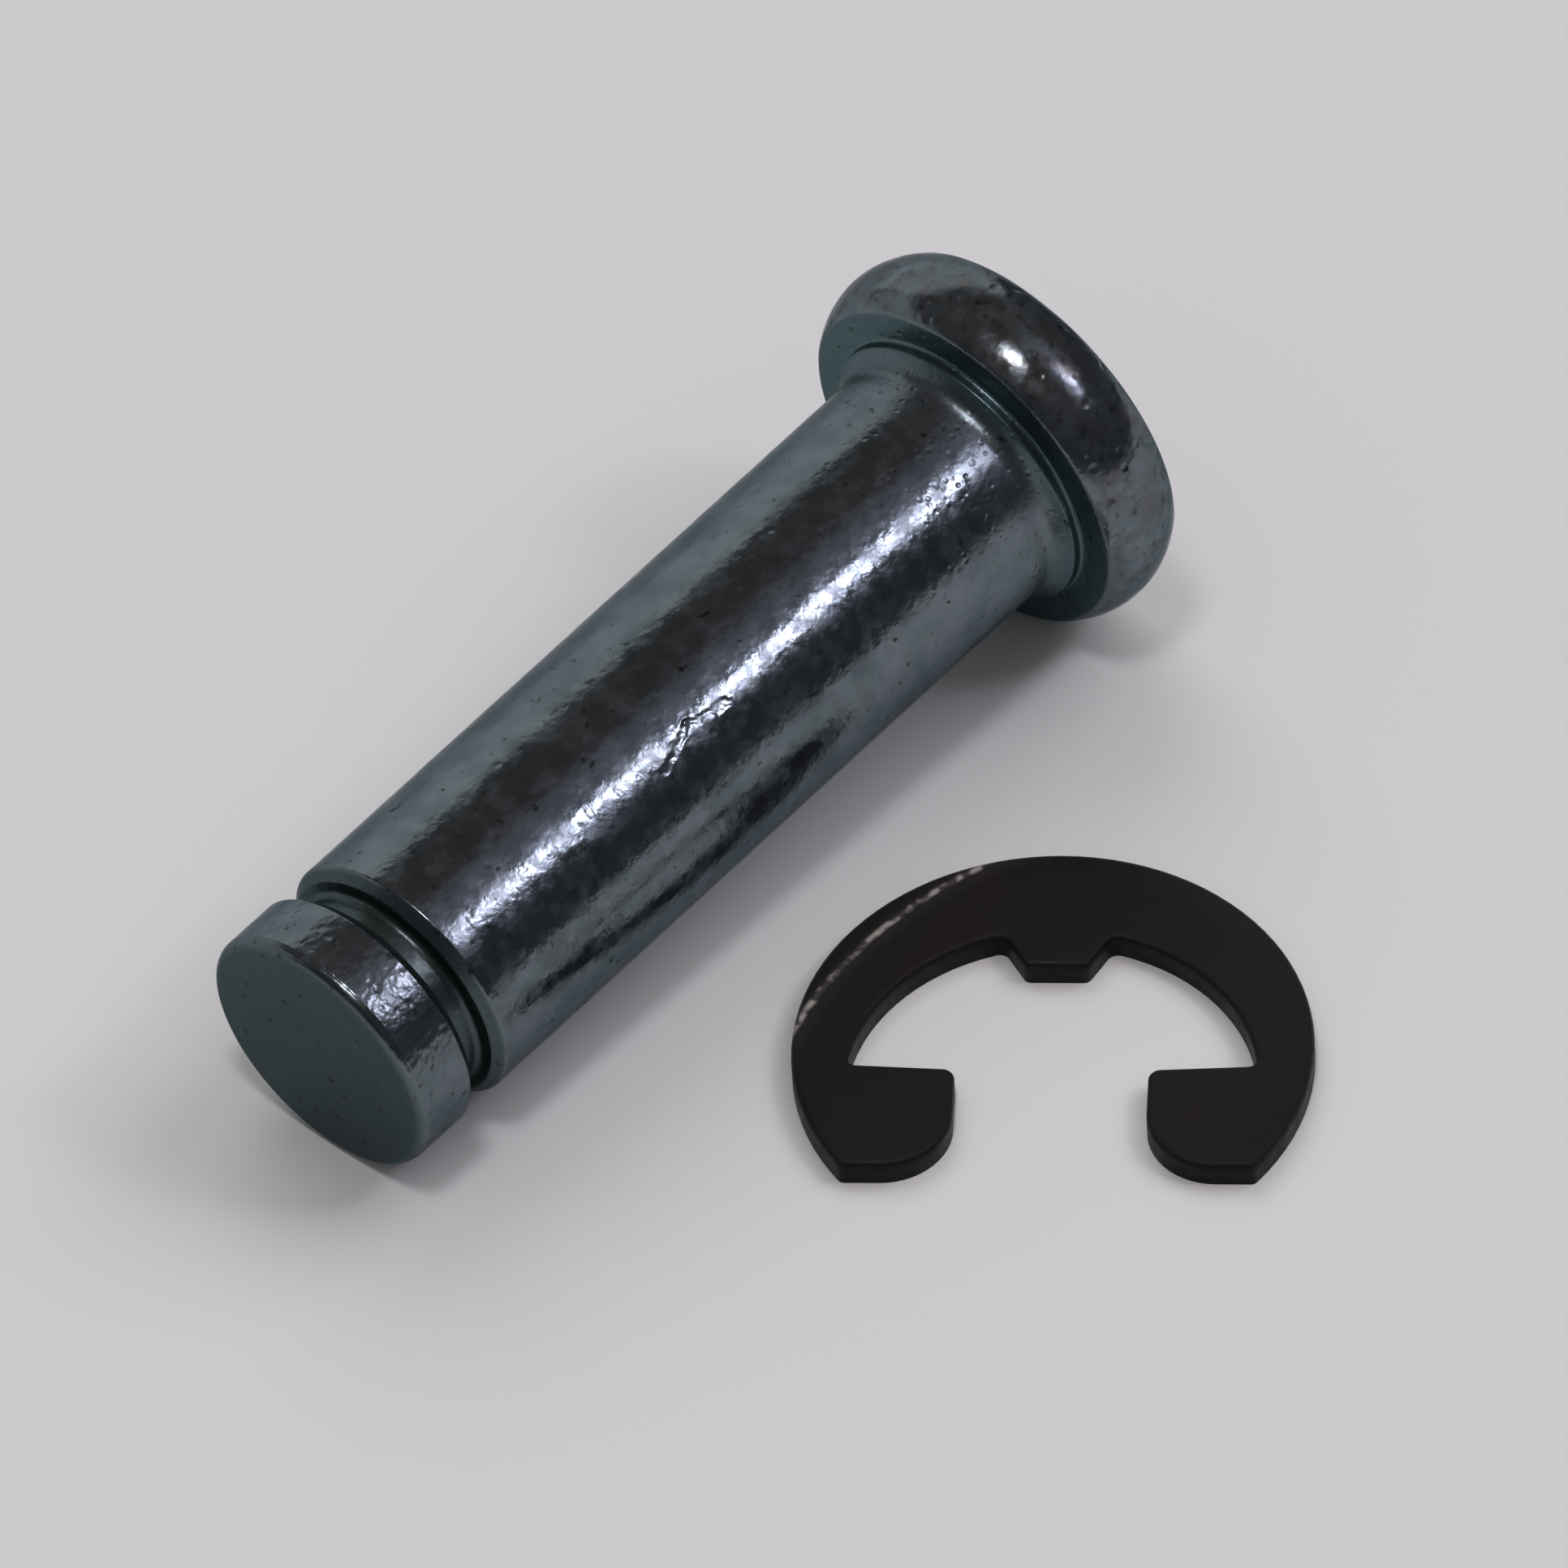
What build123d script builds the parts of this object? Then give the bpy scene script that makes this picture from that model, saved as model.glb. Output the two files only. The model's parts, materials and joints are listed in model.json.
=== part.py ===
from build123d import *
from math import asin, atan2, cos, degrees, hypot, radians, sin
import os

# Pulley pin: a headed pin lying on its side, with its retaining clip taken off and lying flat beside it.
# Millimetres, +Z up, floor at z = 0, origin at the centre of the whole footprint.
# +X runs along the pin, from its free end to its head.

# Shank and free end
shank_diameter = 10.0
grip_length = 34.1
end_round = 0.4

# Head, with a barrelled rim between two edges of the same diameter
head_diameter = 15.0
head_edge_diameter = 13.8
head_thickness = 3.5
head_edge_round = 0.25

# Collar that the heading die leaves between the shank and the underside of the head
collar_diameter = 11.2
collar_length = 0.4
collar_taper = 0.45
collar_foot_round = 0.5

# Retaining clip
clip_outer_diameter = 18.4
clip_thickness = 1.0
bow_inner_radius = 7.25
bow_inner_offset = 1.7
tooth_root_width = 3.8
tooth_tip_width = 2.2
prong_end_offset = 5.65
prong_back_offset = 1.05
prong_back_rise = 0.2
prong_toe_round = 2.5
prong_lip_round = 0.45
clip_corner_round = 0.3
tooth_root_round = 0.4

# Groove for the clip, and how hard the free clip pinches it
groove_diameter = 8.0
groove_side_clearance = 0.1
groove_lip_chamfer = 0.4
end_land_length = 2.9
tooth_pinch = 0.1
prong_pinch = 0.6

# Where the clip lies, measured from the middle of the pin's free end
clip_along_pin = 19.5
clip_beside_pin = 16.9
clip_turn = 39.6

# Sizes that follow from the ones above
shank_radius = shank_diameter / 2
groove_radius = groove_diameter / 2
collar_radius = collar_diameter / 2
head_radius = head_diameter / 2
head_edge_radius = head_edge_diameter / 2
clip_outer_radius = clip_outer_diameter / 2
pin_length = grip_length + head_thickness
head_middle = grip_length + head_thickness / 2
groove_start = end_land_length
groove_end = end_land_length + clip_thickness + groove_side_clearance

# The rim's arc passes through both head edges and bulges to the head's full diameter
rim_bulge = head_radius - head_edge_radius
rim_radius = (head_thickness**2 / 4 + rim_bulge**2) / (2 * rim_bulge)

# The lying pin touches the floor with the rounding of its free end and with its rim,
# so its tilt is that of the line that touches both arcs
run_between_arcs = head_middle - end_round
rise_between_arcs = (head_radius - rim_radius) - (shank_radius - end_round)
arc_distance = hypot(run_between_arcs, rise_between_arcs)
pin_tilt = atan2(rise_between_arcs, run_between_arcs) + asin((rim_radius - end_round) / arc_distance)
end_centre_height = (shank_radius - end_round) * cos(pin_tilt) - end_round * sin(pin_tilt) + end_round

# Footprint of the pin and the clip, measured from the middle of the free end
low_x = -(shank_radius - end_round) * sin(pin_tilt) + end_round * (cos(pin_tilt) - 1)
far_edge = (pin_length - head_edge_round, head_edge_radius - head_edge_round)
high_x = far_edge[0] * cos(pin_tilt) + far_edge[1] * sin(pin_tilt) + head_edge_round
low_y = -clip_beside_pin - clip_outer_radius
high_y = head_radius
end_x = -(low_x + high_x) / 2
end_y = -(low_y + high_y) / 2

# Plane through the pin's axis: its x runs from the free end to the head, its y away from the floor
pin_along = Vector(cos(pin_tilt), 0, sin(pin_tilt))
pin_plane = Plane(origin=(end_x, end_y, end_centre_height), x_dir=pin_along, z_dir=(0, -1, 0))
pin_axis = Axis(pin_plane.origin, pin_along)

with BuildPart() as headed_pin:
    with BuildSketch(pin_plane):
        with BuildLine():
            # From the middle of the free end, over the groove and the collar, to the head's lower edge
            shank_side = FilletPolyline(
                (0, 0),
                (0, shank_radius),
                (groove_start - groove_lip_chamfer, shank_radius),
                (groove_start, shank_radius - groove_lip_chamfer),
                (groove_start, groove_radius),
                (groove_end, groove_radius),
                (groove_end, shank_radius - groove_lip_chamfer),
                (groove_end + groove_lip_chamfer, shank_radius),
                (grip_length - collar_length - collar_taper, shank_radius),
                (grip_length - collar_length, collar_radius),
                (grip_length, collar_radius),
                (grip_length, head_edge_radius),
                radius=[end_round, 0, 0, 0, 0, 0, 0, collar_foot_round, 0, 0],
            )
            rim = ThreePointArc(
                shank_side @ 1,
                (head_middle, head_radius),
                (pin_length, head_edge_radius),
            )
            Polyline(rim @ 1, (pin_length, 0), (0, 0))
        make_face()
    revolve(axis=pin_axis)
    head_edges = headed_pin.edges().filter_by(GeomType.CIRCLE).filter_by(
        lambda edge: abs(edge.radius - head_edge_radius) < 0.01
    )
    fillet(head_edges, head_edge_round)
headed_pin.part.label = "headed_pin"

# The clip's local y runs from its mouth to the back of its bow
clip_plane = Plane(
    origin=(end_x + clip_along_pin, end_y - clip_beside_pin, 0),
    x_dir=(sin(radians(clip_turn)), -cos(radians(clip_turn)), 0),
    z_dir=(0, 0, 1),
)
toe = (clip_outer_radius**2 - prong_end_offset**2) ** 0.5
throat = groove_radius - prong_pinch
window_y = prong_back_rise - prong_back_offset
window_x = (bow_inner_radius**2 - (window_y + bow_inner_offset) ** 2) ** 0.5
root_x = tooth_root_width / 2
root_y = (bow_inner_radius**2 - root_x**2) ** 0.5 - bow_inner_offset
tip_x = tooth_tip_width / 2
tip_y = groove_radius - tooth_pinch
toe_angle = degrees(atan2(-prong_end_offset, toe))
window_angle = degrees(atan2(window_y + bow_inner_offset, window_x))
root_angle = degrees(atan2(root_y + bow_inner_offset, root_x))

with BuildPart() as e_clip:
    with BuildSketch(clip_plane) as clip_face:
        with BuildLine():
            CenterArc((0, 0), clip_outer_radius, 90, toe_angle - 90)
            Polyline(
                (toe, -prong_end_offset),
                (throat, -prong_end_offset),
                (throat, -prong_back_offset),
                (window_x, window_y),
            )
            CenterArc((0, -bow_inner_offset), bow_inner_radius, window_angle, root_angle - window_angle)
            Polyline((root_x, root_y), (tip_x, tip_y), (0, tip_y))
            mirror(about=Plane.YZ)
        make_face()
        for corner_x, corner_y, round_radius in (
            (toe, -prong_end_offset, clip_corner_round),
            (throat, -prong_end_offset, prong_toe_round),
            (throat, -prong_back_offset, prong_lip_round),
            (window_x, window_y, clip_corner_round),
            (root_x, root_y, tooth_root_round),
            (tip_x, tip_y, clip_corner_round),
        ):
            for side in (-1, 1):
                corner = clip_face.vertices().sort_by_distance((side * corner_x, corner_y))[0]
                fillet(corner, round_radius)
    extrude(amount=clip_thickness)
e_clip.part.label = "e_clip"

os.makedirs("parts", exist_ok=True)
for piece in (headed_pin, e_clip):
    export_step(piece.part, f"parts/{piece.part.label}.step")
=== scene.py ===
import json
from math import atan2, cos, degrees, hypot, pi, radians, sin, sqrt, tan

import bmesh
import bpy
from mathutils import Matrix, Vector, noise


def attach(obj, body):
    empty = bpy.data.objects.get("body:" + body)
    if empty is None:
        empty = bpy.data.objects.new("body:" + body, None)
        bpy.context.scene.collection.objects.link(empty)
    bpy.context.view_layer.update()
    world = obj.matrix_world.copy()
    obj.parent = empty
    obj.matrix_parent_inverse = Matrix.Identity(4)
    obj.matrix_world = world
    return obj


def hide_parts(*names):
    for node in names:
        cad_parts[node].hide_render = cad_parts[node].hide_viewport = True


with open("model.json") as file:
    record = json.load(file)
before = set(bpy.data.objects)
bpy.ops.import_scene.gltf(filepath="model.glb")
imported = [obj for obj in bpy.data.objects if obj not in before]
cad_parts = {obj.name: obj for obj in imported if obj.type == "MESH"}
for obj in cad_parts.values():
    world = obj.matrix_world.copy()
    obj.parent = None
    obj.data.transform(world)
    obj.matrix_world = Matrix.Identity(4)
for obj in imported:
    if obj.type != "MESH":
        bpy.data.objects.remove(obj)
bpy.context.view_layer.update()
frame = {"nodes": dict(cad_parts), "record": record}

# Sizes below are in millimetres unless they say otherwise; the frame is in metres
MM = 0.001

# Pin
SHANK_RADIUS = 5.0
GRIP_LENGTH = 34.1
END_ROUND = 0.4
HEAD_RADIUS = 7.5
HEAD_EDGE_RADIUS = 6.9
HEAD_THICKNESS = 3.5
HEAD_EDGE_ROUND = 0.25
COLLAR_RADIUS = 5.6
COLLAR_LENGTH = 0.4
COLLAR_TAPER = 0.45
COLLAR_FOOT_ROUND = 0.8
COLLAR_EDGE_ROUND = 0.1
UNDERHEAD_ROUND = 0.12
GROOVE_RADIUS = 4.0
GROOVE_START = 2.9
GROOVE_WIDTH = 1.1
GROOVE_LIP_CHAMFER = 0.4
GROOVE_LIP_ROUND = 0.12
GROOVE_FLOOR_ROUND = 0.25
PIN_LENGTH = GRIP_LENGTH + HEAD_THICKNESS
GROOVE_END = GROOVE_START + GROOVE_WIDTH

# Skin of the pin: its columns, a waviness that only goes inwards, and the part around the axis without it
AROUND = 384
WAVE_DEPTH = 0.008
WAVES_PER_MM = 0.45
RIPPLE_DEPTH = 0.004
RIPPLES_PER_MM = 1.4
SMOOTH_MIDDLE = 0.2

# Zones of the pin's finish and of its painted shade: places along it, then depths below the shank's surface
RIM_BLEND = 0.3
GRIPPED_START = 0.65 * GRIP_LENGTH
GROOVE_DULL_AND_SHADE_START = 0.02
GROOVE_DULL_AND_SHADE_FULL = 0.12

# Scratch on the shank: distances from the free end and angles above level, in degrees, then its sizes
SCRATCH = ((15.0, 48.5), (16.9, 55.5), (18.6, 51.5))
SCRATCH_WIDTH = 0.50
SCRATCH_DEPTH = 0.018
SCRATCH_RAGGED = 0.6

# Clip
CLIP_THICKNESS = 1.0
CLIP_OUTER_RADIUS = 9.2
CLIP_TOP_ROUND = 0.20
CLIP_TOP_SUPPORT = 0.05
CLIP_EDGE_ROLL = 1.3
CLIP_ROLL_DROP = 0.12

# The clip's mesh before its top edges are rounded: points closer than the gap are joined, faces that meet
# flatter than the first angle are merged, and edges sharper than the second are rounded; angles in degrees
WELD_GAP = 0.002
FLAT_ANGLE = 0.5
SHARP_ANGLE = 60

# Painted glints and a faint painted sheen on the clip, in a smoother burnished band: places as shares of its
# outer radius, then widths
GLINT_LINE = 0.905
PIN_SIDE_START = 0.76
PIN_SIDE_FULL = 0.84
GLINT_WIDTH = 0.4
SHEEN_INWARDS = 2.0
SHEEN_OUTWARDS = 1.0

# Colours of the zinc plating, with two colours of painted shade for its recesses and end face
ZINC_DARK = (0.134, 0.167, 0.181, 1)
ZINC_PALE = (0.176, 0.211, 0.227, 1)
# Painted shade: darker, tealer tones for the end face, the groove and the corner under the head
ZINC_PAINTED_SHADE = (0.083, 0.109, 0.108, 1)
ZINC_PAINTED_SHADE_BY_HEAD = (0.106, 0.158, 0.167, 1)
ZINC_GREY = (0.136, 0.143, 0.146, 1)
ZINC_SPECK = (0.05, 0.06, 0.062, 1)
ZINC_EDGE_TINT = (0.42, 0.46, 0.48, 1)

# Colours of the clip, with painted shade for its walls and a pale colour for painted glints
CLIP_COOL = (0.0096, 0.0096, 0.0107, 1)
CLIP_WARM = (0.0136, 0.0102, 0.0107, 1)
CLIP_WALL_SHADE = (0.0032, 0.0027, 0.0022, 1)
# Pale colour of the painted glints and painted sheen
GLINT_PALE = (0.42, 0.39, 0.36, 1)

# Room: its floor, in metres, its colours, and a paler part of the sky around the streak lamp, in degrees
FLOOR_HALF = 6.0
FLOOR_DARK = (0.595, 0.595, 0.595, 1)
FLOOR_PALE = (0.615, 0.615, 0.615, 1)
SKY_LOW = (0.052, 0.057, 0.072, 1)
SKY_HIGH = (0.094, 0.073, 0.069, 1)
SKY_GLOW = (0.30, 0.28, 0.33, 1)
GLOW_AZIMUTH = -41
GLOW_ELEVATION = 59
GLOW_REACH = 25

# Camera, fitted to the photograph
CAMERA_AIM = Vector((4.611, 8.726, 0.0))
CAMERA_AZIMUTH = radians(-45.3526)
CAMERA_ELEVATION = radians(46.9)
CAMERA_ROLL = radians(-3.5)
CAMERA_DISTANCE = 1111.1
SENSOR_WIDTH = 36.0
LENS = 719.9


def add_object(name, data):
    made = bpy.data.objects.new(name, data)
    bpy.context.scene.collection.objects.link(made)
    return made


# Profile of the pin: points (along the axis, distance from it), counted from the free end

def line(start, end, steps):
    """Points from start up to, but without, end."""
    return [
        (start[0] + (end[0] - start[0]) * i / steps, start[1] + (end[1] - start[1]) * i / steps)
        for i in range(steps)
    ]


def arc(centre, radius, start, end, steps):
    """Points on an arc from angle start to end, in degrees, without the last one."""
    angles = [radians(start + (end - start) * i / steps) for i in range(steps)]
    return [(centre[0] + radius * cos(a), centre[1] + radius * sin(a)) for a in angles]


def groove_lip(wall, side):
    """Softened chamfer from the shank's surface to a groove wall; side is the way to the groove, 1 or -1."""
    tangent = GROOVE_LIP_ROUND * tan(radians(22.5))
    outer = (wall - side * (GROOVE_LIP_CHAMFER + tangent), SHANK_RADIUS - GROOVE_LIP_ROUND)
    inner = (wall - side * GROOVE_LIP_ROUND, SHANK_RADIUS - GROOVE_LIP_CHAMFER - tangent)
    bevel = GROOVE_LIP_ROUND * cos(radians(45))
    bevel_start = (outer[0] + side * bevel, outer[1] + bevel)
    bevel_end = (inner[0] + side * bevel, inner[1] + bevel)
    points = arc(outer, GROOVE_LIP_ROUND, 90, 90 - side * 45, steps=4)
    points += line(bevel_start, bevel_end, steps=4)
    points += arc(inner, GROOVE_LIP_ROUND, 90 - side * 45, 90 - side * 90, steps=4)
    return points + [(wall, inner[1])]


def groove_points():
    """The groove, from the start of one lip to that of the other."""
    near_lip = groove_lip(GROOVE_START, 1)
    far_lip = groove_lip(GROOVE_END, -1)
    floor = GROOVE_FLOOR_ROUND
    centre_height = GROOVE_RADIUS + floor
    points = near_lip + line(near_lip[-1], (GROOVE_START, centre_height), steps=4)[1:]
    points += arc((GROOVE_START + floor, centre_height), floor, 180, 270, steps=4)
    points += line((GROOVE_START + floor, GROOVE_RADIUS), (GROOVE_END - floor, GROOVE_RADIUS), steps=6)
    points += arc((GROOVE_END - floor, centre_height), floor, -90, 0, steps=4)
    points += line((GROOVE_END, centre_height), far_lip[-1], steps=4)
    return points + far_lip[::-1]


def collar_points():
    """The collar, from its foot on the shank to the corner under the head."""
    taper_start = GRIP_LENGTH - COLLAR_LENGTH - COLLAR_TAPER
    taper_end = GRIP_LENGTH - COLLAR_LENGTH
    taper_angle = degrees(atan2(COLLAR_RADIUS - SHANK_RADIUS, COLLAR_TAPER))
    foot_reach = COLLAR_FOOT_ROUND * tan(radians(taper_angle / 2))
    edge_reach = COLLAR_EDGE_ROUND * tan(radians(taper_angle / 2))
    lean = (cos(radians(taper_angle)), sin(radians(taper_angle)))
    foot = (taper_start + foot_reach * lean[0], SHANK_RADIUS + foot_reach * lean[1])
    brow = (taper_end - edge_reach * lean[0], COLLAR_RADIUS - edge_reach * lean[1])
    foot_centre = (taper_start - foot_reach, SHANK_RADIUS + COLLAR_FOOT_ROUND)
    brow_centre = (taper_end + edge_reach, COLLAR_RADIUS - COLLAR_EDGE_ROUND)
    corner_start = (GRIP_LENGTH - UNDERHEAD_ROUND, COLLAR_RADIUS)
    corner_centre = (GRIP_LENGTH - UNDERHEAD_ROUND, COLLAR_RADIUS + UNDERHEAD_ROUND)
    points = arc(foot_centre, COLLAR_FOOT_ROUND, -90, taper_angle - 90, steps=4)
    points += line(foot, brow, steps=4)
    points += arc(brow_centre, COLLAR_EDGE_ROUND, 90 + taper_angle, 90, steps=3)
    points += line((brow_centre[0], COLLAR_RADIUS), corner_start, steps=3)
    return points + arc(corner_centre, UNDERHEAD_ROUND, -90, 0, steps=3)


def head_points():
    """The head, from its underside to the middle of its outer face."""
    rim_bulge = HEAD_RADIUS - HEAD_EDGE_RADIUS
    rim_radius = (HEAD_THICKNESS**2 / 4 + rim_bulge**2) / (2 * rim_bulge)
    rim_centre = (GRIP_LENGTH + HEAD_THICKNESS / 2, HEAD_RADIUS - rim_radius)
    edge_run = HEAD_THICKNESS / 2 - HEAD_EDGE_ROUND
    edge_rise = sqrt((rim_radius - HEAD_EDGE_ROUND) ** 2 - edge_run**2)
    edge_angle = degrees(atan2(edge_rise, edge_run))
    edge_height = rim_centre[1] + edge_rise
    near_edge = (GRIP_LENGTH + HEAD_EDGE_ROUND, edge_height)
    far_edge = (PIN_LENGTH - HEAD_EDGE_ROUND, edge_height)
    points = line((GRIP_LENGTH, COLLAR_RADIUS + UNDERHEAD_ROUND), (GRIP_LENGTH, edge_height), steps=6)
    points += arc(near_edge, HEAD_EDGE_ROUND, 180, 180 - edge_angle, steps=4)
    points += arc(rim_centre, rim_radius, 180 - edge_angle, edge_angle, steps=22)
    points += arc(far_edge, HEAD_EDGE_ROUND, edge_angle, 0, steps=4)
    points += line((PIN_LENGTH, edge_height), (PIN_LENGTH, 0), steps=14)
    return points + [(PIN_LENGTH, 0)]


def pin_profile():
    groove = groove_points()
    collar = collar_points()
    points = line((0, 0), (0, SHANK_RADIUS - END_ROUND), steps=14)
    points += arc((END_ROUND, SHANK_RADIUS - END_ROUND), END_ROUND, 180, 90, steps=7)
    points += line((END_ROUND, SHANK_RADIUS), groove[0], steps=18)
    points += groove
    points += line(groove[-1], collar[0], steps=104)[1:]
    return points + collar + head_points()


# Pin

def pin_axes():
    """Middle of the free end, and the pin's directions: towards the head, level towards the clip, and up."""
    head_face = next(m for m in frame["record"]["mounts"] if m["name"] == "head_face")
    along_axis = Vector(head_face["axis"]).normalized()
    end_middle = Vector(head_face["pos_m"]) - along_axis * PIN_LENGTH * MM
    level_out = Vector((0, -1, 0))
    return end_middle, along_axis, level_out, level_out.cross(along_axis)


def shank_spot(along, turn):
    """Spot on the shank, from its distance to the free end and its angle above level, in degrees."""
    end_middle, along_axis, level_out, up = pin_axes()
    out = level_out * cos(radians(turn)) + up * sin(radians(turn))
    return end_middle + (along_axis * along + out * SHANK_RADIUS) * MM


def profile_normal(profile, row):
    before = profile[max(row - 1, 0)]
    after = profile[min(row + 1, len(profile) - 1)]
    run, rise = after[0] - before[0], after[1] - before[1]
    length = hypot(run, rise)
    return -rise / length, run / length


def waviness(along, radius, turn):
    """How far the skin moves along its normal: never outwards, so the pin stays inside its CAD box."""
    if radius < SMOOTH_MIDDLE:
        return 0
    spot = Vector((along, radius * cos(turn), radius * sin(turn)))
    wave = WAVE_DEPTH * (noise.noise(spot * WAVES_PER_MM) - 1)
    return wave + RIPPLE_DEPTH * (noise.noise(spot * RIPPLES_PER_MM) - 1)


def ring_size(radius):
    return 1 if radius == 0 else AROUND


def pin_vertices(profile):
    end_middle, along_axis, level_out, up = pin_axes()
    vertices = []
    for row, (along, radius) in enumerate(profile):
        normal = profile_normal(profile, row)
        for column in range(ring_size(radius)):
            turn = 2 * pi * column / AROUND - pi
            out = level_out * cos(turn) + up * sin(turn)
            wave = waviness(along, radius, turn)
            spot = along_axis * (along + normal[0] * wave) + out * (radius + normal[1] * wave)
            vertices.append(end_middle + spot * MM)
    return vertices


def pin_faces(profile):
    faces = []
    near = 0
    for (_, radius), (_, next_radius) in zip(profile, profile[1:]):
        far = near + ring_size(radius)
        for column in range(AROUND):
            beside = (column + 1) % AROUND
            if radius == 0:
                faces.append((near, far + beside, far + column))
            elif next_radius == 0:
                faces.append((near + column, near + beside, far))
            else:
                faces.append((near + column, near + beside, far + beside, far + column))
        near = far
    return faces


def share(value, low, high):
    return min(max((value - low) / (high - low), 0.0), 1.0)


def dullness_and_shade(along, radius):
    """Share of matte plating, also darkened with painted shade: on the end face, in the groove and in the
    corner under the head.
    """
    if along < END_ROUND:
        return share(along, END_ROUND / 2, 0)
    if along < GROOVE_END + 2 * GROOVE_LIP_CHAMFER:
        return share(radius, SHANK_RADIUS - GROOVE_DULL_AND_SHADE_START, SHANK_RADIUS - GROOVE_DULL_AND_SHADE_FULL)
    return share(radius, SHANK_RADIUS, COLLAR_RADIUS) if along <= GRIP_LENGTH else 0.0


def pin_zones(profile):
    """Point by point: how matte and darkened by painted shade, on the rim, gripped by the heading die, or
    battered the skin is.
    """
    zones = {"dull_and_shade": [], "rim": [], "gripped": [], "battered": []}
    for along, radius in profile:
        rim = share(along, GRIP_LENGTH, GRIP_LENGTH + RIM_BLEND)
        gripped = max(share(along, GRIPPED_START, GRIP_LENGTH) - rim, 0)
        land = 1.0 if END_ROUND <= along <= GROOVE_START - GROOVE_LIP_CHAMFER else 0.0
        row = {"dull_and_shade": dullness_and_shade(along, radius), "rim": rim, "gripped": gripped, "battered": max(rim, land)}
        for name, value in row.items():
            zones[name] += [value] * ring_size(radius)
    return zones


def make_pin():
    profile = pin_profile()
    mesh = bpy.data.meshes.new("zinc_pin")
    mesh.from_pydata([tuple(v) for v in pin_vertices(profile)], [], pin_faces(profile))
    mesh.validate()
    bm = bmesh.new()
    bm.from_mesh(mesh)
    bmesh.ops.recalc_face_normals(bm, faces=bm.faces)
    bm.to_mesh(mesh)
    bm.free()
    mesh.shade_smooth()
    for name, values in pin_zones(profile).items():
        mesh.attributes.new(name, "FLOAT", "POINT").data.foreach_set("value", values)
    return add_object("zinc_pin", mesh)


# Clip: the CAD solid with its edges softened

def make_clip():
    mesh = frame["nodes"]["e_clip"].data.copy()
    mesh.materials.clear()
    bm = bmesh.new()
    bm.from_mesh(mesh)
    bmesh.ops.remove_doubles(bm, verts=bm.verts, dist=WELD_GAP * MM)
    bmesh.ops.dissolve_limit(bm, angle_limit=radians(FLAT_ANGLE), verts=bm.verts, edges=bm.edges)
    below_top = (CLIP_THICKNESS - WELD_GAP / 2) * MM
    top_edges = [
        e for e in bm.edges
        if all(v.co.z > below_top for v in e.verts) and e.calc_face_angle(0) > radians(SHARP_ANGLE)
    ]
    bmesh.ops.bevel(bm, geom=top_edges, offset=CLIP_TOP_ROUND * MM, segments=4, profile=0.5, affect="EDGES")
    cap = [f for f in bm.faces if f.normal.z > 0.999]
    bmesh.ops.inset_region(bm, faces=cap, thickness=CLIP_TOP_SUPPORT * MM)
    for face in bm.faces:
        face.smooth = True
    bm.to_mesh(mesh)
    bm.free()
    return add_object("steel_clip", mesh)


def clip_centre(clip):
    """Centre of the clip's outer circle, which reaches the clip's bounds towards +X and +Y."""
    spots = [v.co for v in clip.data.vertices]
    reach = CLIP_OUTER_RADIUS * MM
    return Vector((max(p.x for p in spots) - reach, max(p.y for p in spots) - reach, 0))


# Shader nodes

def new_material(name):
    material = bpy.data.materials.new(name)
    material.use_nodes = True
    tree = material.node_tree
    tree.nodes.clear()
    output = tree.nodes.new("ShaderNodeOutputMaterial")
    shader = tree.nodes.new("ShaderNodeBsdfPrincipled")
    tree.links.new(shader.outputs["BSDF"], output.inputs["Surface"])
    return material, tree, shader


def feed(tree, socket, value):
    """Link a socket to another one, or set it to a constant."""
    if isinstance(value, bpy.types.NodeSocket):
        tree.links.new(value, socket)
    else:
        socket.default_value = value


def node(tree, kind, **inputs):
    made = tree.nodes.new(kind)
    for name, value in inputs.items():
        feed(tree, made.inputs[name.replace("_", " ")], value)
    return made


def operate(tree, kind, operation, *values):
    """A maths node of the kind, with its inputs in order."""
    made = tree.nodes.new(kind)
    made.operation = operation
    for socket, value in zip(made.inputs, values):
        feed(tree, socket, value)
    return made


def calculate(tree, operation, first, second):
    return operate(tree, "ShaderNodeMath", operation, first, second).outputs["Value"]


def times(tree, first, second):
    return calculate(tree, "MULTIPLY", first, second)


def largest(tree, first, second):
    return calculate(tree, "MAXIMUM", first, second)


def scalar_result(tree, operation, *vectors):
    """Number that a vector operation makes, such as a distance."""
    return operate(tree, "ShaderNodeVectorMath", operation, *vectors).outputs["Value"]


def vector_result(tree, operation, first, second):
    """Vector that an operation makes of two, such as their sum."""
    return operate(tree, "ShaderNodeVectorMath", operation, first, second).outputs["Vector"]


def object_place(tree):
    return tree.nodes.new("ShaderNodeTexCoord").outputs["Object"]


def point_attribute(tree, name):
    made = tree.nodes.new("ShaderNodeAttribute")
    made.attribute_name = name
    return made.outputs["Fac"]


def noise_field(tree, place, feature, detail=2, offset=(0, 0, 0)):
    """Noise with spots of about the given size in millimetres."""
    mapping = node(tree, "ShaderNodeMapping", Vector=place, Location=offset, Scale=[1 / (feature * MM)] * 3)
    field = node(tree, "ShaderNodeTexNoise", Vector=mapping.outputs["Vector"], Scale=1, Detail=detail)
    return field.outputs["Fac"]


def dents(tree, place, spacing, radius):
    """Height of scattered round dents, from 0 on the surface to -1; spacing and radius in millimetres."""
    cells = node(tree, "ShaderNodeTexVoronoi", Vector=place, Scale=1 / (spacing * MM))
    return ramp(tree, cells.outputs["Distance"], (0, radius / spacing), (-1, 0))


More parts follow.
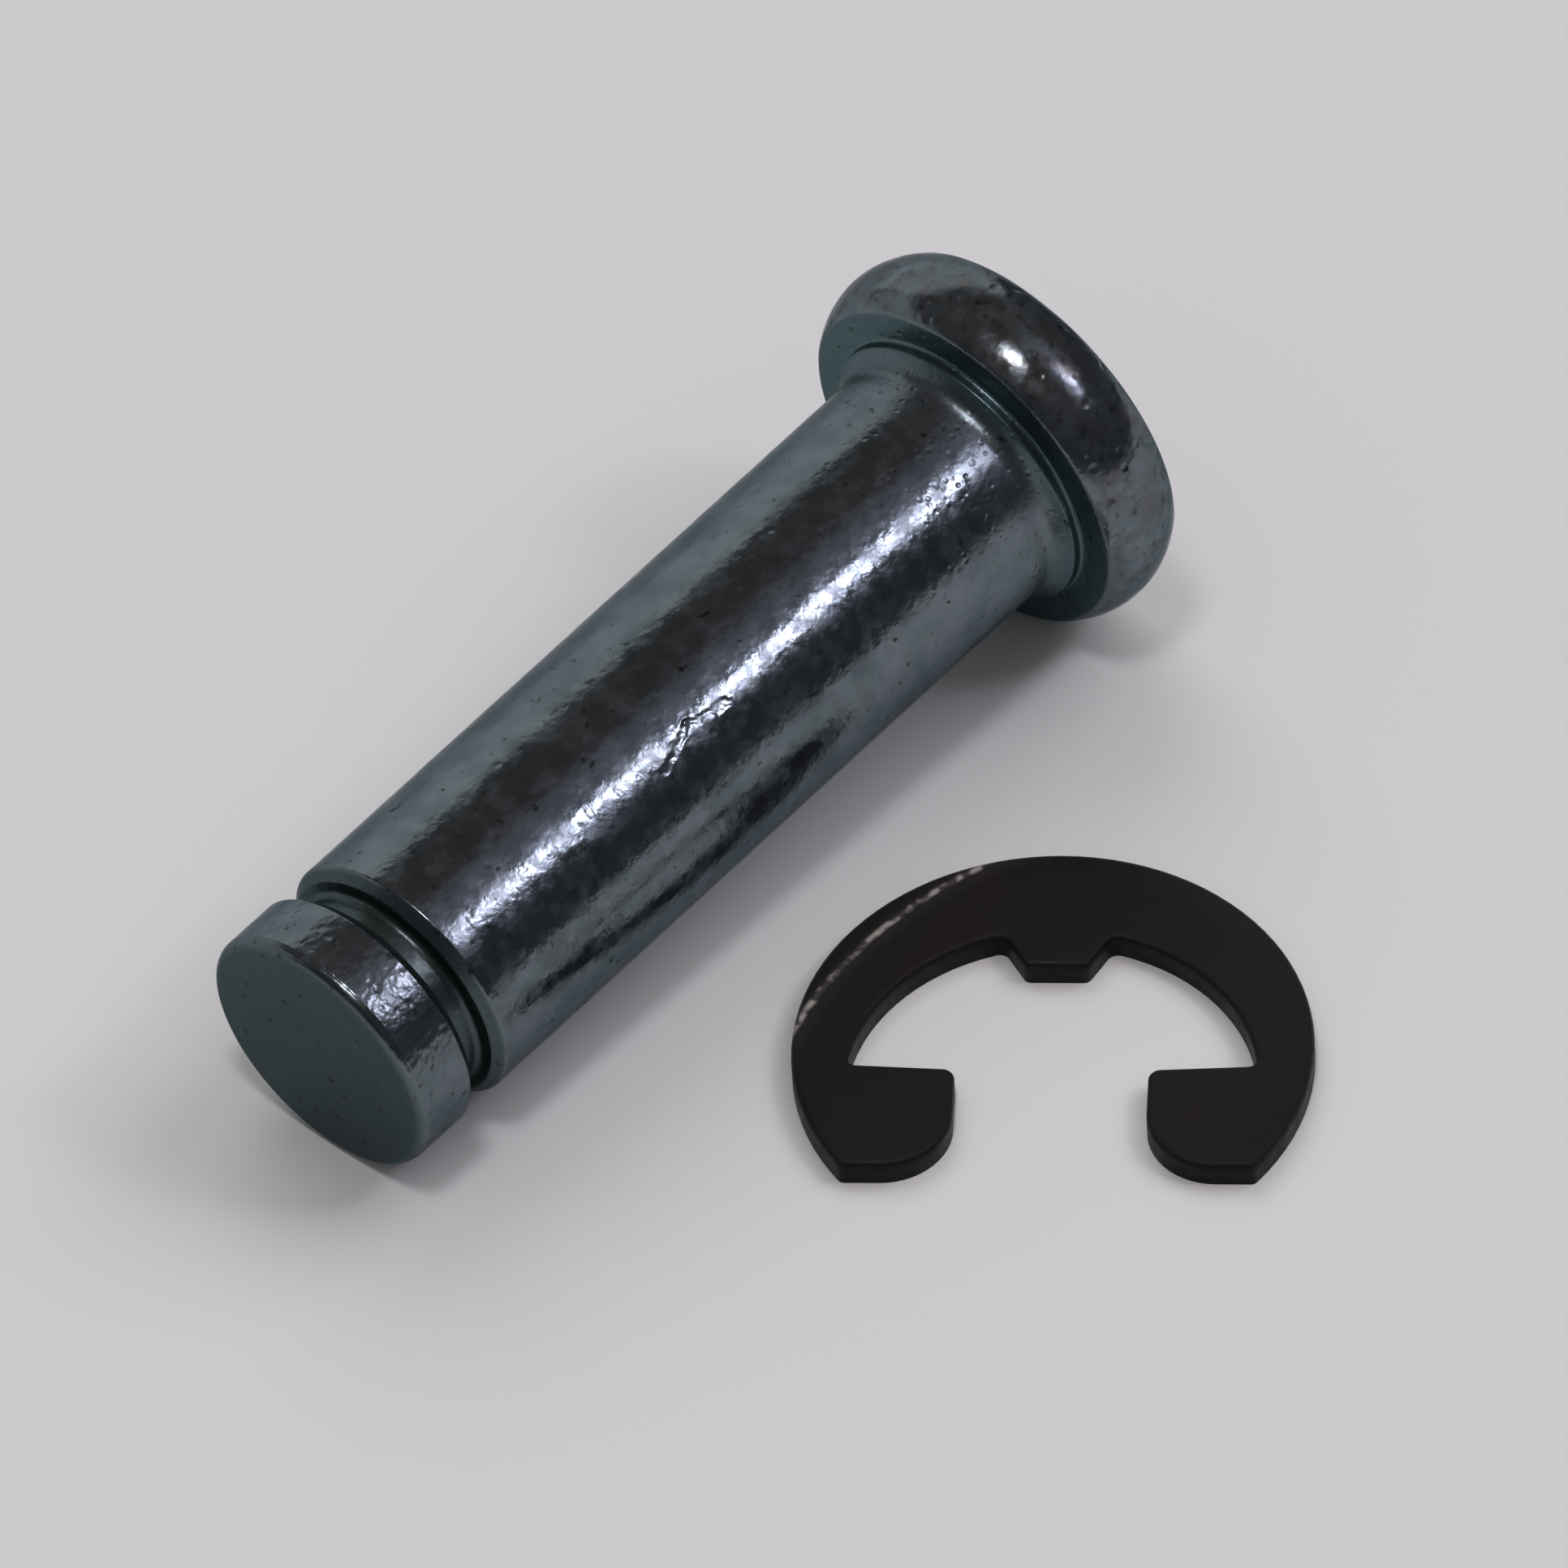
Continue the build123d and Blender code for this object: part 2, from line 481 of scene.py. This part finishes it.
def scratch(tree, place, start, end):
    """Height of a ragged furrow between two spots, from 0 on the surface to -1."""
    ragged = node(tree, "ShaderNodeTexNoise", Vector=place, Scale=1 / (SCRATCH_RAGGED * MM)).outputs["Color"]
    stray = vector_result(tree, "MULTIPLY", ragged, [SCRATCH_RAGGED * MM] * 3)
    moved = vector_result(tree, "ADD", place, stray)
    offset = vector_result(tree, "SUBTRACT", moved, start + Vector([SCRATCH_RAGGED / 2 * MM] * 3))
    run = end - start
    along = scalar_result(tree, "DOT_PRODUCT", offset, run / run.length_squared)
    reached = node(tree, "ShaderNodeMapRange", Value=along).outputs["Result"]
    gap = scalar_result(tree, "DISTANCE", offset, vector_result(tree, "MULTIPLY", reached, run))
    return ramp(tree, gap, (0, SCRATCH_WIDTH / 2 * MM), (-1, 0))


def ramp(tree, value, span, results=(0, 1)):
    """Smooth way from one result to the other while the value crosses the span."""
    ends = dict(zip(("From_Min", "From_Max", "To_Min", "To_Max"), (*span, *results)))
    made = node(tree, "ShaderNodeMapRange", Value=value, **ends)
    made.interpolation_type = "SMOOTHSTEP"
    return made.outputs["Result"]


def band(tree, value, middle, before, after):
    """1 where the value is at the middle, falling to 0 over the given ways before and after it."""
    rising = ramp(tree, value, (middle - before, middle))
    falling = ramp(tree, value, (middle, middle + after), (1, 0))
    return times(tree, rising, falling)


def blend(tree, amount, first, second):
    made = tree.nodes.new("ShaderNodeMix")
    made.data_type = "RGBA"
    factor, first_colour, second_colour = (made.inputs[i] for i in (0, 6, 7))
    for socket, value in ((factor, amount), (first_colour, first), (second_colour, second)):
        feed(tree, socket, value)
    return made.outputs[2]


def bump(tree, height, depth, normal=None):
    """Normal over a relief, in which a height of 1 stands for the depth in millimetres."""
    made = node(tree, "ShaderNodeBump", Height=height, Distance=depth * MM, Strength=1)
    if normal is not None:
        feed(tree, made.inputs["Normal"], normal)
    return made.outputs["Normal"]


# Zinc plating

def zinc_colour(tree, place, zones):
    """Faintly teal and mottled, greyer in patches on the rim, with dark specks, and painted shade in the
    recesses and on the end face.
    """
    mottle = ramp(tree, noise_field(tree, place, 1.3, detail=5), (0.32, 0.68))
    clean = blend(tree, mottle, ZINC_DARK, ZINC_PALE)
    # Painted shade: darker plating colour on the end face, in the groove and under the head, tealer towards
    # the head
    dull_and_shade = blend(tree, zones["gripped"], ZINC_PAINTED_SHADE, ZINC_PAINTED_SHADE_BY_HEAD)
    toned = blend(tree, zones["dull_and_shade"], clean, dull_and_shade)
    patches = ramp(tree, noise_field(tree, place, 0.8, detail=5, offset=(2, 8, 3)), (0.42, 0.62))
    toned = blend(tree, times(tree, patches, zones["rim"]), toned, ZINC_GREY)
    speckle = noise_field(tree, place, 0.45, detail=4, offset=(3, 1, 7))
    rim_specks = times(tree, ramp(tree, speckle, (0.54, 0.68), (0, 0.5)), zones["rim"])
    specks = largest(tree, ramp(tree, speckle, (0.64, 0.74)), rim_specks)
    return blend(tree, specks, toned, ZINC_SPECK)


def zinc_roughness(tree, place, zones):
    """Clouds of better and worse polish, and at least some roughness in each of the rough zones."""
    clouds = noise_field(tree, place, 0.7, detail=5, offset=(5, 5, 1))
    roughness = ramp(tree, clouds, (0.36, 0.68), (0.15, 0.30))
    roughness = times(tree, roughness, ramp(tree, zones["rim"], (0, 1), (1, 0.85)))
    for zone, span, least in (("dull_and_shade", (0, 1), 0.33), ("land", (0, 1), 0.24), ("gripped", (0.6, 0.95), 0.33)):
        roughness = largest(tree, roughness, ramp(tree, zones[zone], span, (0.1, least)))
    return roughness


def zinc_relief(tree, place, zones):
    """Normal over the shallow waves, the grain, the dents, the crumpled end land and the scratch."""
    grain = times(tree, noise_field(tree, place, 0.35), ramp(tree, zones["rim"], (0, 1), (1, 0.3)))
    rough_end = ramp(tree, zones["gripped"], (0.2, 1))
    fine_dents = times(tree, dents(tree, place, spacing=0.42, radius=0.15), rough_end)
    deep_dents = times(tree, dents(tree, place, spacing=0.75, radius=0.26), zones["battered"])
    crumple = times(tree, noise_field(tree, place, 0.55, offset=(7, 2, 5)), zones["land"])
    heights_and_depths = [
        (noise_field(tree, place, 1.0), 0.026),
        (grain, 0.015),
        (dents(tree, place, spacing=1.7, radius=0.22), 0.014),
        (fine_dents, 0.016),
        (deep_dents, 0.024),
        (crumple, 0.05),
    ]
    for start, end in zip(SCRATCH, SCRATCH[1:]):
        furrow = scratch(tree, place, shank_spot(*start), shank_spot(*end))
        heights_and_depths.append((furrow, SCRATCH_DEPTH))
    normal = None
    for height, depth in heights_and_depths:
        normal = bump(tree, height, depth, normal)
    return normal


def zinc_material():
    """Zinc-plated steel, duller and darkened with painted shade in the recesses and on the end face, and
    rougher by the head.
    """
    material, tree, shader = new_material("zinc_plated_steel")
    place = object_place(tree)
    zones = {name: point_attribute(tree, name) for name in ("dull_and_shade", "rim", "gripped", "battered")}
    zones["land"] = calculate(tree, "SUBTRACT", zones["battered"], zones["rim"])
    matte = largest(tree, zones["dull_and_shade"], zones["rim"])
    feed(tree, shader.inputs["Base Color"], zinc_colour(tree, place, zones))
    feed(tree, shader.inputs["Metallic"], ramp(tree, matte, (0, 1), (0.975, 0.93)))
    feed(tree, shader.inputs["Roughness"], zinc_roughness(tree, place, zones))
    feed(tree, shader.inputs["Normal"], zinc_relief(tree, place, zones))
    shader.inputs["Specular Tint"].default_value = ZINC_EDGE_TINT
    return material


# Black finish of the clip

def from_centre(tree, place, centre):
    """Distance from the clip's centre, and how far a spot lies from it towards the pin."""
    moved = node(tree, "ShaderNodeMapping", Vector=place, Location=(-centre.x, -centre.y, 0))
    parts = node(tree, "ShaderNodeSeparateXYZ", Vector=moved.outputs["Vector"])
    flat = node(tree, "ShaderNodeCombineXYZ", X=parts.outputs["X"], Y=parts.outputs["Y"])
    return scalar_result(tree, "LENGTH", flat.outputs["Vector"]), parts.outputs["Y"]


def burnish_and_glints(tree, place, reach, beyond):
    """Share burnished, and share painted with pale glints and a faint sheen, along a line near the edge on
    the side towards the pin.
    """
    radius = CLIP_OUTER_RADIUS * MM
    bow = calculate(tree, "ADD", reach, beyond)
    middle = 2 * GLINT_LINE * radius
    side = ramp(tree, beyond, (PIN_SIDE_START * radius, PIN_SIDE_FULL * radius))
    thin = band(tree, bow, middle, GLINT_WIDTH * MM, GLINT_WIDTH * MM)
    broad = band(tree, bow, middle, SHEEN_INWARDS * MM, SHEEN_OUTWARDS * MM)
    patches = noise_field(tree, place, 0.55, detail=3, offset=(1, 6, 2))
    # Painted highlight: broken pale glints along the line, and a faint painted sheen in the broad band around
    # it
    glint_share = times(tree, thin, ramp(tree, patches, (0.42, 0.64), (0.10, 0.95)))
    glint_and_sheen_share = largest(tree, times(tree, glint_share, side), ramp(tree, broad, (0, 1), (0, 0.02)))
    return times(tree, broad, side), glint_and_sheen_share


def clip_black(tree, place):
    """Colour of the black finish, cool to warm on top, with painted shade making the sheared walls darker."""
    tint = ramp(tree, noise_field(tree, place, 9.0, offset=(2, 0, 4)), (0.3, 0.7))
    geometry = tree.nodes.new("ShaderNodeNewGeometry")
    facing = node(tree, "ShaderNodeSeparateXYZ", Vector=geometry.outputs["Normal"])
    # Painted shade: faces that turn sideways, the walls, get a darker colour than the top
    upward = ramp(tree, facing.outputs["Z"], (0.2, 0.8))
    return blend(tree, upward, CLIP_WALL_SHADE, blend(tree, tint, CLIP_COOL, CLIP_WARM))


def clip_relief(tree, place, reach):
    """Normal over a fine grain, and over a top that falls away towards the outer edge."""
    roll = [(CLIP_OUTER_RADIUS + side * CLIP_EDGE_ROLL) * MM for side in (-1, 1)]
    normal = bump(tree, ramp(tree, reach, roll, (1, 0)), 2 * CLIP_ROLL_DROP)
    return bump(tree, noise_field(tree, place, 0.3, detail=3), 0.004, normal)


def clip_material(centre):
    """Black phosphated steel, with painted glints and sheen along a line on the side that faces the pin."""
    material, tree, shader = new_material("black_spring_steel")
    place = object_place(tree)
    reach, beyond = from_centre(tree, place, centre)
    burnished, glint_and_sheen_share = burnish_and_glints(tree, place, reach, beyond)
    satin = ramp(tree, noise_field(tree, place, 0.6, detail=3), (0.3, 0.7), (0.42, 0.54))
    feed(tree, shader.inputs["Base Color"], blend(tree, glint_and_sheen_share, clip_black(tree, place), GLINT_PALE))
    feed(tree, shader.inputs["Metallic"], ramp(tree, glint_and_sheen_share, (0, 1), (0, 0.3)))
    feed(tree, shader.inputs["Roughness"], times(tree, satin, ramp(tree, burnished, (0, 1), (1, 0.7))))
    feed(tree, shader.inputs["Normal"], clip_relief(tree, place, reach))
    shader.inputs["Specular IOR Level"].default_value = 0.15
    return material


# Floor, lights and camera

def floor_material():
    material, tree, shader = new_material("pale_floor")
    colour = blend(tree, noise_field(tree, object_place(tree), 60), FLOOR_DARK, FLOOR_PALE)
    feed(tree, shader.inputs["Base Color"], colour)
    shader.inputs["Roughness"].default_value = 0.9
    shader.inputs["Specular IOR Level"].default_value = 0.1
    return material


def make_floor():
    mesh = bpy.data.meshes.new("floor")
    corners = [(x * FLOOR_HALF, y * FLOOR_HALF, 0) for x, y in ((-1, -1), (1, -1), (1, 1), (-1, 1))]
    mesh.from_pydata(corners, [], [(0, 1, 2, 3)])
    floor = add_object("floor", mesh)
    mesh.materials.append(floor_material())


def sky(azimuth, elevation):
    """Direction, as a unit vector; azimuth is counted from +X towards +Y, in degrees."""
    a, e = radians(azimuth), radians(elevation)
    return Vector((cos(e) * cos(a), cos(e) * sin(a), sin(e)))


def make_world():
    """A dim room, cooler near the horizon, warmer overhead and paler around the streak lamp."""
    world = bpy.data.worlds.new("studio")
    world.use_nodes = True
    tree = world.node_tree
    direction = tree.nodes.new("ShaderNodeTexCoord").outputs["Generated"]
    height = node(tree, "ShaderNodeSeparateXYZ", Vector=direction).outputs["Z"]
    room = blend(tree, ramp(tree, height, (0.3, 0.9)), SKY_LOW, SKY_HIGH)
    closeness = scalar_result(tree, "DOT_PRODUCT", direction, sky(GLOW_AZIMUTH, GLOW_ELEVATION))
    glow = ramp(tree, closeness, (cos(radians(GLOW_REACH)), 1))
    feed(tree, tree.nodes["Background"].inputs["Color"], blend(tree, glow, room, SKY_GLOW))
    bpy.context.scene.world = world


def add_lamp(light, towards, distance=0.0):
    """Place a light in a direction from the object, at a distance in metres, and aim it at the object."""
    lamp = add_object(light.name, light)
    lamp.location = towards * distance
    lamp.rotation_euler = towards.to_track_quat("Z", "Y").to_euler()
    return lamp


def area_lamp(name, azimuth, elevation, distance, size, watts, colour=(1, 1, 1)):
    """A soft lamp aimed at the object; distance and size in metres."""
    light = bpy.data.lights.new(name, "AREA")
    light.shape = "RECTANGLE"
    light.size, light.size_y = size
    light.energy = watts
    light.color = colour
    add_lamp(light, sky(azimuth, elevation), distance)


def soft_sun(name, azimuth, elevation, spread, strength):
    """A far light, spread over an angle in degrees, that doesn't show in the metal as a disc."""
    light = bpy.data.lights.new(name, "SUN")
    light.energy = strength
    light.angle = radians(spread)
    add_lamp(light, sky(azimuth, elevation)).visible_glossy = False


def make_lights():
    make_world()
    soft_sun("dome", 0, 90, spread=120, strength=0.75)
    soft_sun("key", -25, 50, spread=40, strength=0.75)
    soft_sun("fill", 60, 50, spread=40, strength=0.65)
    area_lamp("streak", -52.2, 49.6, distance=0.6, size=(0.09, 0.09), watts=0.36, colour=(0.917, 0.825, 1.0))
    area_lamp("overhead", -156, 75, distance=0.6, size=(0.09, 0.09), watts=0.80, colour=(1.0, 0.94, 1.0))
    area_lamp("backdrop", 58, 17.5, distance=1.0, size=(1.0, 0.80), watts=1.62)
    area_lamp("side_backdrop", 114, 13, distance=1.0, size=(1.0, 0.60), watts=0.70)


def make_camera():
    a, e, roll = CAMERA_AZIMUTH, CAMERA_ELEVATION, CAMERA_ROLL
    right = Vector((cos(a), sin(a), 0))
    forward = Vector((-sin(a) * cos(e), cos(a) * cos(e), -sin(e)))
    upward = right.cross(forward)
    right_rolled = right * cos(roll) + upward * sin(roll)
    up_rolled = upward * cos(roll) - right * sin(roll)
    data = bpy.data.cameras.new("camera")
    data.lens = LENS
    data.sensor_width = SENSOR_WIDTH
    data.clip_start = 0.1
    data.clip_end = 20
    camera = add_object("camera", data)
    turned = Matrix((right_rolled, up_rolled, -forward)).transposed().to_4x4()
    camera.matrix_world = Matrix.Translation((CAMERA_AIM - forward * CAMERA_DISTANCE) * MM) @ turned
    bpy.context.scene.camera = camera


bpy.context.scene.view_settings.view_transform = "Standard"
pin = make_pin()
pin.data.materials.append(zinc_material())
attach(pin, "root")
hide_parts("headed_pin")
clip = make_clip()
clip.data.materials.append(clip_material(clip_centre(clip)))
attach(clip, "root")
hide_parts("e_clip")
make_floor()
make_lights()
make_camera()
